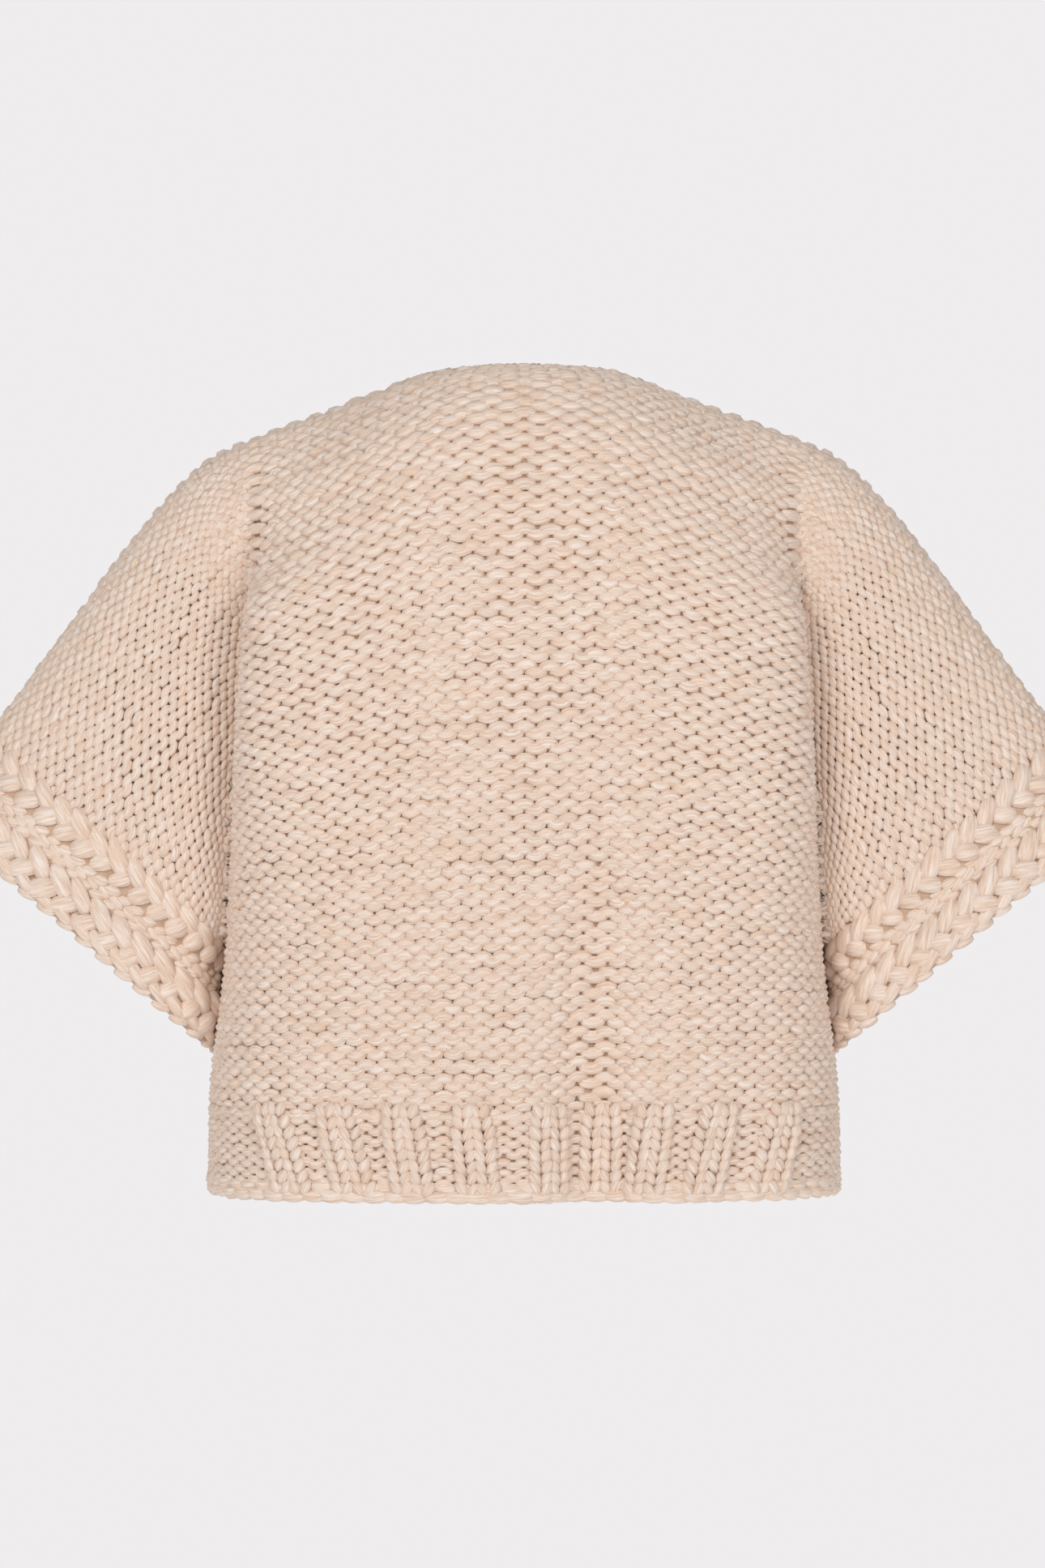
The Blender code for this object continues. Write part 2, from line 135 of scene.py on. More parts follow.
ROW = 9.15  # from one course to the next, down the middle of the back
STITCH = np.array(
    [  # share, width_at_centre, width_at_side
        (-0.15, 12.2, 12.2), (0, 12.2, 12.2), (0.3, 12.6, 12.2), (0.6, 14.4, 13),
        (0.8, 15.3, 12.8), (1, 15.5, 12.4),
    ]
)
SLEEVE_STITCH = 11.0
FAN = np.array(
    [  # way_down_the_sleeve, courses_between_ridge_and_fold
        (0, 12.5), (0.15, 17), (0.35, 21.5), (0.65, 25), (1, 27.5),
    ]
)
UNDERARM_EASE = 0.42  # how much wider than even the sleeve's courses lie at the underarm
FOLD_ROW = 12.5  # last course that runs on from the body into the sleeve
HEAD_LIFT = 0.732  # a loop's head above and its foot below the course, in courses
LOOP_WIDEN = 0.24  # how far the loop's shoulders spread, in stitches
SWING = 2.2  # how far heads and feet stand out before the legs
YARN = 0.435  # yarn's radius, in courses
CORE_OUT, CORE_IN = -5.0, -8.0  # faces of the thin core, below the cloth's outer face
ROLL = 4.6  # radius of the neck's rolled edge
BACK_ROLL, FRONT_ROLL = 3.0, 1.0  # how much cloth rolls over it, in courses
RUN_ON = {"upper": 0.0, "trunk": 0.4, "sleeve": 0.3}  # stitches by which courses pass a seam
SHORTEST_COURSE = 2  # stitches; a shorter one is left out at the underarm
STRAND_SIDES = 6  # faces round a yarn or a strand
# Turns round a stitch, in degrees, at which its yarn has a point; the fronts have fewer.
PHASES = {
    BACK: np.array([8, 24, 50, 130, 156, 172, 188, 204, 230, 310, 336, 352]) / 360,
    FRONT: np.array([10, 36, 144, 170, 190, 216, 324, 350]) / 360,
}
MAP_STEP = 0.25  # pace of the maps, in courses and stitches
ROW_POINTS = 240  # points along a row of the body, and as many along one of the sleeve
HOLD = 0.04  # how much slanting columns turn back to even spacing, each quarter course
LAST_ROW = 41.5  # row that reaches the bottom of the armhole

STROKES = 32  # slanted strands round each line of a plait
CUFF_WIDTH = 64.5  # from the sleeve to the free edge
CUFF_ROUND = 490  # all round the arm
PLAIT_THICK, BUMP_THICK = 8.4, 6.4  # the strands, across the cloth
# Lines of strands across a cuff: where each starts and ends, in millimetres from the sleeve, how
# far it runs on round the arm while it does, in strokes, its width and how far it stands out.
PLAITS = np.array(
    [  # starts, ends, run, width, stands_out, shift
        (-1.5, 9.6, 0.96, 12.2, 3.8, 0),
        (18.8, 7.4, 0.96, 12.8, 3.6, 0.45),
        (33.2, 45.2, 0.96, 12.6, 4.4, 0.1),
        (56, 43.4, 0.98, 13, 4.4, 0.55),
    ]
)
# Lines of small bumps between and beyond the plaits.
CUFF_BUMPS = np.array(
    [  # from_sleeve, number_round, length, width, stands_out, rise
        (21.4, 52, 10.4, 7.4, 1.2, -1.6),
        (25.8, 52, 10.4, 7.4, 1, 1.6),
        (30.2, 52, 10.4, 7.4, 1.2, -1.6),
        (53.5, 36, 14.5, 8.6, 3.2, 3.4),
        (57.5, 36, 14, 8, 0.8, -2.6),
    ]
)
# How much further up the sleeve than its solid a cuff's plaits start at the underarm, in
# millimetres. It fades out round the arm, and down the cuff by CREEP_END from the sleeve.
CUFF_CREEP = {LEFT: 8.0, RIGHT: 1.0}
CREEP_END = 60
# The ribs of the back's hem, from its centre towards the wearer's right.
BACK_RIBS = np.array(
    [  # middle, lean
        (-147, 16), (-108, 13), (-70.5, 8), (-29.5, 4.5), (15.5, 1), (46.5, 0),
        (74.5, -5), (112, -9), (152.5, -11),
    ]
)
FRONT_RIBS = np.array([(46.0, 0.0), (87.0, 0.0), (128.0, 0.0), (169.0, 0.0)])  # middle, lean
RIB_ROW = 6.6  # from one V of a rib to the next
RIB_STITCH = 12.6  # width of one column of Vs; a rib has two
RIB_ROWS = 8
RIB_GAUGE = 0.72  # a course of the rib, as a share of one of the body
BIND_STITCH = 12.5  # width of a stitch of the bound-off edge
BIND_OFF = (  # from_top, stands_out, offset_in_stitches, length
    (45.8, 1.4, 0.0, 15.0),
    (50.6, 2.6, 0.5, 16.0),
)
CORNER = (22, 5.0)  # how far along and how high the hem's lower corners are rounded

random = np.random.default_rng(11)


# ---------------- lines and surfaces


def smooth(at, table, column=1, key=0):
    """Value of a table's column at a key, on a cubic that never overshoots between its rows."""
    order = np.argsort(table[:, key])
    x, y = table[order, key], table[order, column]
    step, rise = np.diff(x), np.diff(y)
    slope = rise / step
    bend = slope[:-1] * slope[1:]
    middle = np.where(bend > 0, 2 * bend / np.where(bend > 0, slope[:-1] + slope[1:], 1), 0)
    tangent = np.concatenate([slope[:1], middle, slope[-1:]])
    at = np.clip(at, x[0], x[-1])
    i = np.clip(np.searchsorted(x, at) - 1, 0, len(step) - 1)
    u = (at - x[i]) / step[i]
    return (
        y[i] * (1 + 2 * u) * (1 - u) ** 2
        + y[i + 1] * u * u * (3 - 2 * u)
        + step[i] * tangent[i] * u * (1 - u) ** 2
        - step[i] * tangent[i + 1] * u * u * (1 - u)
    )


def power(base, exponent):
    """A signed power, for superellipses."""
    return np.sign(base) * np.abs(base) ** exponent


def row_heights(share):
    """Heights of a row at the centre and at the armhole line; share runs from rib to shoulder."""
    side = RIB_TOP + (CREST_SIDE - RIB_TOP) * share
    droop = (CREST_TOP - CREST_SIDE) * np.clip(share, 0, 1)
    return side + droop, side


def body(share, across, face, hand):
    """Outer face of the body; across runs from 0 at the centre to 1 at the armhole or side seam.

    The section is a quarter superellipse that curls past its widest point where the side folds
    in, blended over the shoulder into a cosine hump. Heights follow the row, which droops from
    the centre to the side as the top outline does.
    """
    share, across = np.broadcast_arrays(share, across)
    middle_height, side_height = row_heights(share)
    half_width = smooth(side_height, SIDE, 1)
    line_depth = smooth(side_height, SIDE, 2)
    folded = smooth(side_height, SIDE, 3)
    depth = smooth(middle_height, DEPTH, 1 if face == BACK else 2)
    bend = 2 / SQUARENESS
    past = np.sin(np.radians(WALL_TURN) * folded) ** bend
    centre = smooth(side_height, SIDE, 4) * (line_depth + past * depth) / (1 + past)
    turn = np.arccos(power((line_depth - centre) / (depth - centre), 1 / bend))
    angle = across * turn
    folded_x = half_width * power(np.sin(angle), bend)
    folded_out = centre + (depth - centre) * power(np.cos(angle), bend)
    end_x = half_width * power(np.sin(turn), bend)
    # the hump's sides are full below the shoulder and steepen towards its top
    hump = 0.9 + 2.6 * np.clip((share - 0.88) / 0.12, 0, 1) ** 2
    lying = np.clip(np.cos(np.pi / 2 * across), 0, 1) ** hump
    open_out = line_depth + (depth - line_depth) * lying
    x = folded * folded_x + (1 - folded) * end_x * across
    y = face * (folded * folded_out + (1 - folded) * open_out)
    crest = smooth(np.clip(x / end_x, 0, 1) * HALF_SHOULDER, CREST)
    drop = (CREST_TOP - crest) / (CREST_TOP - CREST_SIDE)
    z = middle_height + (side_height - middle_height) * drop
    x = x * hand
    for side, place, top, deep, narrow, wide in TROUGHS:
        if side == face:
            down = np.clip((top - z) / (top - HEM), 0, 1)
            width = narrow + (wide - narrow) * down
            y = y - face * deep * down * np.exp(-(((x - place) / width) ** 2))
    return np.stack([x, y, z], axis=-1)


def ring(top, under, half_depth, turn, hand):
    """Superellipse whose long axis runs from the ridge to the underarm; turn 0 is the ridge."""
    top, under = np.array(top), np.array(under)
    middle, long_half = (top + under) / 2, (top - under) / 2
    bend = 2 / CUFF_SQUARENESS
    along, out = power(np.cos(turn), bend), power(np.sin(turn), bend)
    x = (middle[0] + long_half[0] * along) * hand
    return np.stack([x, -half_depth * out, middle[1] + long_half[1] * along], axis=-1)


def distances(points):
    """Distance along a line of points, from its first."""
    steps = np.linalg.norm(np.diff(points, axis=0), axis=1)
    return np.concatenate([[0], np.cumsum(steps)])


def spread(points, shares):
    """Points at shares of the way along a line of points."""
    done = distances(points)
    return np.stack([np.interp(shares, done / done[-1], points[:, k]) for k in range(3)], axis=-1)


def armhole_line(face, hand):
    """The line where sleeve leaves body, from the ridge down to the underarm."""
    return body(np.linspace(1, UNDERARM_SHARE, 400), 1.0, face, hand)


def sleeve(round_it, station, face, hand):
    """Loft from the armhole line (station 0) to the cuff line (1).

    Each strand runs straight between points equally far round the two lines, from the ridge (0)
    to the underarm (1), then is lifted to the outline's ridge and rounded out like an arm.
    """
    start = spread(armhole_line(face, hand), round_it)
    half_turn = np.linspace(0, np.pi, 400) * -face
    end = spread(ring(CUFF_TOP, CUFF_UNDER, CUFF_HALF_DEPTH, half_turn, hand), round_it)
    station = np.broadcast_to(station, np.shape(round_it))
    ridge_x = HALF_SHOULDER + (CUFF_TOP[0] - HALF_SHOULDER) * station
    straight = CREST_SIDE + (CUFF_TOP[1] - CREST_SIDE) * station
    # the lift is whole at the ridge and dies away towards the underarm
    lift = (smooth(ridge_x, CREST) - straight) * np.clip(1 - round_it, 0, 1) ** 1.6
    bulge = ARM_BULGE * np.sin(np.pi * station) * np.sin(np.pi * np.clip(round_it, 0, 1))
    points = start + (end - start) * station[..., None]
    points[..., 1] += face * bulge
    points[..., 2] += lift
    return points


def unit(vectors):
    """Vectors divided by their own lengths."""
    return vectors / np.maximum(np.linalg.norm(vectors, axis=-1, keepdims=True), 1e-9)


# ---------------- rows and stitches

MERIDIAN = np.linspace(1.0, -0.15, 700)
MERIDIAN_ROWS = distances(body(MERIDIAN, 0.0, BACK, RIGHT)) / ROW
BODY_ROWS = np.interp(0.0, -MERIDIAN, MERIDIAN_ROWS)


def share_of(row):
    """How far up from the rib a row lies, rows being equally far apart down the back's middle."""
    return np.interp(row, MERIDIAN_ROWS, MERIDIAN)


def round_armhole(share, face, hand):
    """How far round the armhole line, from the ridge, it reaches a height given as a share."""
    down = np.linspace(1, UNDERARM_SHARE, 400)
    done = distances(armhole_line(face, hand))
    return np.interp(-share, -down, done / done[-1])


def body_row(row, face, hand):
    """A row of the body from the centre out, and its stitches counted evenly from the centre.

    A stitch's width changes from the centre to the side with the square of the distance.
    """
    share = share_of(max(row, 0.0))
    line = body(share, np.linspace(0, 1, ROW_POINTS), face, hand)
    done = distances(line)
    centre, side = smooth(share, STITCH, 1), smooth(share, STITCH, 2)
    width = centre + (side - centre) * (done / done[-1]) ** 2
    middle = (width[1:] + width[:-1]) / 2
    return line, np.concatenate([[0], np.cumsum(np.diff(done) / middle)])


def sleeve_row(row, face, hand):
    """A row of the sleeve, from the armhole line to the cuff or to the underarm seam.

    Rows fan out: at a way t down the sleeve, row r lies at r / courses(t) of the way from the
    ridge to the fold, and leaves the armhole line the more slowly the nearer it is to the fold.
    """
    way = np.linspace(0, 1, ROW_POINTS)
    fan = np.maximum(row, 0.0) / smooth(way, FAN)
    start = round_armhole(share_of(np.minimum(fan * FOLD_ROW, LAST_ROW)), face, hand)
    round_it = start * (1 - way) + (fan - UNDERARM_EASE * fan**2 * (1 - fan)) * way
    # a row that reaches the underarm seam ends there, and has eight points at least
    ends = max(np.argmax(round_it > 1), 8) if round_it.max() > 1 else len(way)
    way, fan, round_it = way[:ends], fan[:ends], round_it[:ends]
    return sleeve(np.clip(round_it, 0, 1), way ** (1 + 2 * fan), face, hand)


def follow(lines, counts, hold):
    """Counts along rows so that columns of stitches run square to them from row to row.

    A point takes the count of the point square above it in the row before, pulled towards the
    row's own even count by hold, which is given as shares along the row and values at them.
    The rows are read every 2 mm, and past their ends at the sleeve's stitch.
    """
    reach = np.arange(0, max(distances(line)[-1] for line in lines) + 2, 2.0)
    followed, above, above_count = [], None, None
    for line, count in zip(lines, counts):
        done = distances(line)
        points = resample(line, done, reach)
        even = np.interp(reach, done, count)
        even = even + np.maximum(reach - done[-1], 0) / SLEEVE_STITCH
        if above is None:
            now = even
        else:
            shift = ((points - above) * unit(np.gradient(above, axis=0))).sum(-1)
            to = reach + shift
            past = np.maximum(to - reach[-1], 0) + np.minimum(to, 0)
            now = np.interp(to, reach, above_count) + past / SLEEVE_STITCH
            now = now + np.interp(reach / done[-1], *hold) * (even - now)
        followed.append(np.interp(done, reach, now))
        above, above_count = points, now
    return followed


def families(face, hand):
    """The half panel's rows in three families, each a list of (row, line, counts).

    The first rows run over the shoulder from the centre to the cuff. Below the fold, the trunk's
    rows end at the armhole or side seam, and the sleeve's begin at the armhole.
    """
    rows = np.arange(0, FOLD_ROW + 1.6, MAP_STEP)
    inner = [body_row(row, face, hand) for row in rows]
    outer = [sleeve_row(row, face, hand) for row in rows]
    lines = [np.concatenate([a, b[1:]]) for (a, _), b in zip(inner, outer)]
    even = [
        np.concatenate([count, count[-1] + distances(b)[1:] / SLEEVE_STITCH])
        for (_, count), b in zip(inner, outer)
    ]
    upper = follow(lines, even, ((0, 0.35, 0.6), (HOLD, HOLD, 0.0)))
    found = {"upper": list(zip(rows, lines, upper))}
    at = int(FOLD_ROW / MAP_STEP)
    rows = np.arange(0, BODY_ROWS + 7, MAP_STEP)
    pairs = [body_row(row, face, hand) for row in rows]
    lines = [line for line, _ in pairs]
    counts = follow(lines, [count for _, count in pairs], ((0, 1), (HOLD, HOLD)))
    found["trunk"] = list(zip(rows, lines, counts))[at - 2 :]
    rows = np.arange(FOLD_ROW, LAST_ROW, MAP_STEP)
    lines = [sleeve_row(row, face, hand) for row in rows]
    even = [distances(line) / SLEEVE_STITCH for line in lines]
    even[0] = upper[at][ROW_POINTS - 1 :]
    counts = follow(lines, even, ((0, 1), (0.0, 0.0)))
    found["sleeve"] = list(zip(rows, lines, counts))
    return found


def whole_rows(face, hands, part):
    """Rows of one or both hands; stitches are negative on the wearer's left."""
    lines = []
    for found in zip(*[FAMILIES[face, hand][part] for hand in hands]):
        row = found[0][0]
        halves = []
        for hand, (_, line, count) in zip(hands, found):
            halves.append((line[::-1], -count[::-1]) if hand == LEFT else (line, count))
        if len(halves) == 2:
            halves[1] = (halves[1][0][1:], halves[1][1][1:])
        points = np.concatenate([line for line, _ in halves])
        counts = np.concatenate([count for _, count in halves])
        lines.append((row, points, counts))
    return lines


def resample(line, count, places):
    """Points of a line at given counts along it; past its ends it runs straight on."""
    beyond = 40  # millimetres
    past = beyond * ((count[-1] - count[0]) / distances(line)[-1])
    first = line[0] - unit(line[4] - line[0]) * beyond
    last = line[-1] + unit(line[-1] - line[-5]) * beyond
    line = np.concatenate([[first], line, [last]])
    count = np.concatenate([[count[0] - past], count, [count[-1] + past]])
    return np.stack([np.interp(places, count, line[:, k]) for k in range(3)], axis=-1)


def make_map(lines, rows, step, side, rolled=0.0):
    """Map of a surface: point, outward normal and course height on a regular grid.

    lines holds one (points, counts) for each row, and step is the grid's pace along them. Side is
    -1 where counts grow to the right of somebody looking at the outer face, with rows going down.
    Before the first row the cloth may roll over its edge on an arc of radius ROLL.
    """
    pace = rows[1] - rows[0]
    first = min(count[0] for _, count in lines) - 2 * step
    last = max(count[-1] for _, count in lines) + 2 * step
    places = np.arange(first, last + step, step)
    grid = np.array([resample(line, count, places) for line, count in lines])
    if rolled:
        out = side * unit(np.cross(np.gradient(grid[0], axis=0), grid[1] - grid[0]))
        on = unit(grid[0] - grid[1])
        turn = np.arange(rolled, 0, -pace)[:, None, None] * ROW / ROLL
        over = grid[0] + ROLL * (np.sin(turn) * on + (np.cos(turn) - 1) * out)
        grid = np.concatenate([over, grid])
    down, across = np.gradient(grid, axis=(0, 1))
    normals = side * unit(np.cross(across, down))
    height = np.linalg.norm(down, axis=-1, keepdims=True) / pace
    grid = np.concatenate([grid, normals, height], axis=-1)
    start = (rows[0] - rolled, first)
    return {"start": start, "step": (pace, step), "grid": grid, "side": side}


def panel_map(face, hands, part, rolled=0.0):
    """Map of a family of rows, in rows and stitches."""
    found = whole_rows(face, hands, part)
    rows = np.array([row for row, _, _ in found])
    lines = [(points, counts) for _, points, counts in found]
    return make_map(lines, rows, MAP_STEP, face, rolled)


def hem_map(face, hands):
    """Map of the hem, in millimetres down from its top and along from the centre."""
    rows = np.arange(-6.0, 66.1, 3.0)
    lines = []
    for row in rows:
        share = -row / (CREST_SIDE - RIB_TOP)
        halves = [body(share, np.linspace(0, 1, 200), face, hand) for hand in hands]
        counts = [distances(half) * hand for half, hand in zip(halves, hands)]
        if hands[0] == LEFT:
            halves[0], counts[0] = halves[0][::-1], counts[0][::-1]
        if len(halves) == 2:
            halves[1], counts[1] = halves[1][1:], counts[1][1:]
        lines.append((np.concatenate(halves), np.concatenate(counts)))
    return make_map(lines, rows, 3.0, face)


def cuff_rings(round_it, hand):
    """A cuff's line at the sleeve and its free edge, at shares of the way round from the ridge."""
    turn = np.linspace(0, 2 * np.pi, 1200)
    top = ring(CUFF_TOP, CUFF_UNDER, CUFF_HALF_DEPTH, turn, hand)
    edge = ring(CUFF_EDGE_TOP, CUFF_EDGE_UNDER, CUFF_EDGE_HALF_DEPTH, turn, hand)
    return spread(top, round_it % 1), spread(edge, round_it % 1)


def cuff_map(hand):
    """Map of a cuff, in millimetres from the sleeve and strokes round it from the ridge.

    It goes once round and half as far again, so that a strand may cross the ridge.
    """
    round_it = np.linspace(-0.25, 1.25, 600)
    top, edge = cuff_rings(round_it, hand)
    rows = np.arange(-12.0, CUFF_WIDTH + 6.1, 3.0)
    lines = [(top + row / CUFF_WIDTH * (edge - top), round_it * STROKES) for row in rows]
    return make_map(lines, rows, 0.2, hand)


def read_map(cloth, row, stitch):
    """Point, normal and course height at fractional rows and stitches, by bilinear blending."""
    grid = cloth["grid"]
    row = (row - cloth["start"][0]) / cloth["step"][0]
    stitch = (stitch - cloth["start"][1]) / cloth["step"][1]
    i = np.clip(np.floor(row).astype(int), 0, grid.shape[0] - 2)
    j = np.clip(np.floor(stitch).astype(int), 0, grid.shape[1] - 2)
    a = np.clip(row - i, 0, 1)[..., None]
    b = np.clip(stitch - j, 0, 1)[..., None]
    upper = grid[i, j] * (1 - b) + grid[i, j + 1] * b
    lower = grid[i + 1, j] * (1 - b) + grid[i + 1, j + 1] * b
    found = upper * (1 - a) + lower * a
    return found[..., :3], unit(found[..., 3:6]), found[..., 6]


# ---------------- meshes


def hex_colour(code):
    """An sRGB hex colour as linear numbers."""
    parts = np.array([int(code[i : i + 2], 16) / 255 for i in (1, 3, 5)])
    return (*np.where(parts <= 0.04045, parts / 12.92, ((parts + 0.055) / 1.055) ** 2.4), 1.0)


def to_object(name, points, quads, material, corners=None):
    """An object from points in millimetres and quads; corners holds each quad corner's UV."""
    mesh = bpy.data.meshes.new(name)
    mesh.vertices.add(len(points))
    mesh.vertices.foreach_set("co", (points * MM).astype(np.float32).ravel())
    mesh.loops.add(quads.size)
    mesh.polygons.add(len(quads))
    mesh.polygons.foreach_set("loop_start", np.arange(0, quads.size, 4, dtype=np.int32))
    mesh.polygons.foreach_set("vertices", quads.astype(np.int32).ravel())
    if corners is not None:
        layer = mesh.uv_layers.new(name="strand")
        layer.data.foreach_set("uv", corners.astype(np.float32).ravel())
    mesh.materials.append(material)
    mesh.update(calc_edges=True)
    mesh.shade_smooth()
    piece = bpy.data.objects.new(name, mesh)
    bpy.context.scene.collection.objects.link(piece)
    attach(piece, "root")
    return piece


def strand_mesh(centres, normals, radii, flatten=1.0):
    """Round strands carried along lines of points, closed at both ends.

    centres is strands x points x 3. Each ring is radius x (flatten cos a, sin a) about the
    strand's own direction. UV runs along the strand in metres, and once round it.
    """
    strands, count = centres.shape[:2]
    sides = STRAND_SIDES
    along = unit(np.gradient(centres, axis=1))
    lifted = unit(normals - along * (normals * along).sum(-1, keepdims=True))
    sideways = np.cross(along, lifted)
    angle = np.arange(sides) / sides * 2 * np.pi
    circle = (
        lifted[:, :, None] * (flatten * np.cos(angle))[:, None]
        + sideways[:, :, None] * np.sin(angle)[:, None]
    )
    points = centres[:, :, None] + radii[:, :, None, None] * circle
    number = np.arange(strands * count * sides).reshape(strands, count, sides)
    turned = np.roll(number, -1, axis=2)
    quads = np.stack([number[:, :-1], turned[:, :-1], turned[:, 1:], number[:, 1:]], axis=-1)
    steps = np.linalg.norm(np.diff(centres, axis=1), axis=-1)
    travel = np.concatenate([np.zeros((strands, 1)), np.cumsum(steps, axis=1)], axis=1) * MM
    # each strand begins at its own place in the wool's pattern, and turned its own way
    travel = travel + random.uniform(0, 40, (strands, 1))
    u = np.broadcast_to(travel[:, :, None], (strands, count, sides))
    v = np.broadcast_to(np.arange(sides) / sides, (strands, count, sides))
    v = v + random.uniform(0, 1, (strands, 1, 1))
    step = 1 / sides
    corners = np.stack(
        [
            np.stack([u[:, :-1], v[:, :-1]], axis=-1),
            np.stack([u[:, :-1], v[:, :-1] + step], axis=-1),
            np.stack([u[:, 1:], v[:, 1:] + step], axis=-1),
            np.stack([u[:, 1:], v[:, 1:]], axis=-1),
        ],
        axis=-2,
    )
    # each end is closed by two quads
    lids, lid_corners = [], []
    for end, order in ((0, (3, 2, 1, 0)), (-1, (0, 1, 2, 3))):
        for shift in (0, sides // 2):
            pick = (np.array(order) + shift) % sides
            lids.append(number[:, end][:, pick])
            lid_corners.append(np.stack([u[:, end][:, pick], v[:, end][:, pick]], axis=-1))
    quads = np.concatenate([quads.reshape(-1, 4)] + lids)
    corners = np.concatenate([corners.reshape(-1, 4, 2)] + lid_corners)
    return points.reshape(-1, 3), quads, corners


def strand_object(name, meshes, material):
    """One object from several meshes of strands, each given as points, quads and corners."""
    points, quads, corners = zip(*meshes)
    before = np.cumsum([0] + [len(part) for part in points[:-1]])
    quads = np.concatenate([part + count for part, count in zip(quads, before)])
    return to_object(name, np.concatenate(points), quads, material, np.concatenate(corners))


def wander(at, amount):
    """Smooth unevenness along a row: random numbers a stitch apart, joined straight."""
    whole = np.arange(np.floor(at.min()) - 1, np.ceil(at.max()) + 2)
    return np.interp(at, whole, random.normal(0, amount, len(whole)))


def knit_row(cloth, row, first, last, gauge=1.0):
    """One course of purl loops as a single yarn.

    With t the turn round a stitch, the yarn lies at row - lift cos t and stitch + widen sin 2t,
    and stands out by swing cos 2t: heads and feet come forward, legs sink. gauge is the course's
    height as a share of the map's.
    """
    whole = np.arange(np.floor(first) - 1, np.ceil(last) + 1)
    at = (whole[:, None] + PHASES[cloth["side"]]).ravel()
    at = np.concatenate([[first], at[(at > first + 0.02) & (at < last - 0.02)], [last]])
    turn = 2 * np.pi * at
    up = row - gauge * HEAD_LIFT * np.cos(turn) + wander(at, 0.05)
    along = at + LOOP_WIDEN * np.sin(2 * turn) + wander(at, 0.03)
    points, normals, height = read_map(cloth, up, along)
    thick = YARN * np.clip(height, 5.0, 12.5) * gauge
    radius = thick * (0.87 + 0.13 * np.cos(2 * turn)) * (1 + wander(at, 0.05))
    depth = SWING * (np.cos(2 * turn) - 1) - thick + wander(at, 0.25)
    centres = points + normals * depth[:, None]
    return strand_mesh(centres[None], normals[None], radius[None])


def knit(name, cloth, found, material, gauge=1.0):
    """A piece of purl fabric: one yarn for each course, given as (row, first, last stitch)."""
    meshes = [knit_row(cloth, row, first, last, gauge) for row, first, last in found]
    return strand_object(name, meshes, material)


def join_grids(grids):
    """One list of points and quads from grids of points, with points that coincide made one."""
    points, quads, count = [], [], 0
    for grid in grids:
        number = count + np.arange(grid.shape[0] * grid.shape[1]).reshape(grid.shape[:2])
        corner = [number[:-1, :-1], number[:-1, 1:], number[1:, 1:], number[1:, :-1]]
        quads.append(np.stack(corner, axis=-1).reshape(-1, 4))
        points.append(grid.reshape(-1, 3))
        count += number.size
    points, quads = np.concatenate(points), np.concatenate(quads)
    _, first, same = np.unique(
        np.round(points, 2), axis=0, return_index=True, return_inverse=True
    )
    return points[first], same.reshape(-1)[quads]


def core(name, grids, material, outer=CORE_OUT, inner=CORE_IN):
    """A thin closed wall below a cloth's outer face, between two depths along its normals."""
    points, quads = join_grids(grids)
    corner = points[quads]
    facing = np.cross(corner[:, 2] - corner[:, 0], corner[:, 3] - corner[:, 1])
    normals = np.zeros_like(points)
    for k in range(4):
        np.add.at(normals, quads[:, k], facing)
    normals = unit(normals)
    edges = np.stack([quads, np.roll(quads, -1, axis=1)], axis=-1).reshape(-1, 2)
    key = np.sort(edges, axis=1)
    _, where, uses = np.unique(key, axis=0, return_inverse=True, return_counts=True)
    rim = edges[uses[where.reshape(-1)] == 1]
    total = len(points)
    rims = np.stack([rim[:, 1], rim[:, 0], rim[:, 0] + total, rim[:, 1] + total], axis=-1)
    quads = np.concatenate([quads, quads[:, ::-1] + total, rims])
    points = np.concatenate([points + normals * outer, points + normals * inner])
    return to_object(name, points, quads, material)


def strokes(cloth, starts, ends, width, thickness, out, bow=0.0, blunt=0.6):
    """Fat strands from starts to ends on a map: full in the middle, slim at the ends.

    With t from 0 to 1 along a strand, its half width is width/2 x (blunt + (1 - blunt) sin^0.6
    pi t), its middle lies out - thickness/2 from the surface, and its ends dip by a third of the
    thickness. bow bends it along the map's rows.
    """
    starts, ends = np.asarray(starts, float), np.asarray(ends, float)
    t = np.array([0.0, 0.1, 0.28, 0.5, 0.72, 0.9, 1.0])
    full = np.sin(np.pi * t)
    place = starts[:, None] + (ends - starts)[:, None] * t[:, None]
    place[..., 0] += bow * full
    unit_size = np.abs(ends - starts).max(axis=0)
    place = place + random.normal(0, 0.035, (len(starts), 1, 2)) * unit_size
    points, normals, _ = read_map(cloth, place[..., 0], place[..., 1])
    uneven = 1 + random.normal(0, 0.06, (len(starts), 1))
    radii = width / 2 * (blunt + (1 - blunt) * full**0.6) * uneven
    depth = out - thickness / 2 - thickness / 3 * (1 - full**0.8)
    centres = points + normals * (depth + random.normal(0, 0.25, (len(starts), 1)))[..., None]
    return strand_mesh(centres, normals, radii, thickness / width)


# ---------------- materials


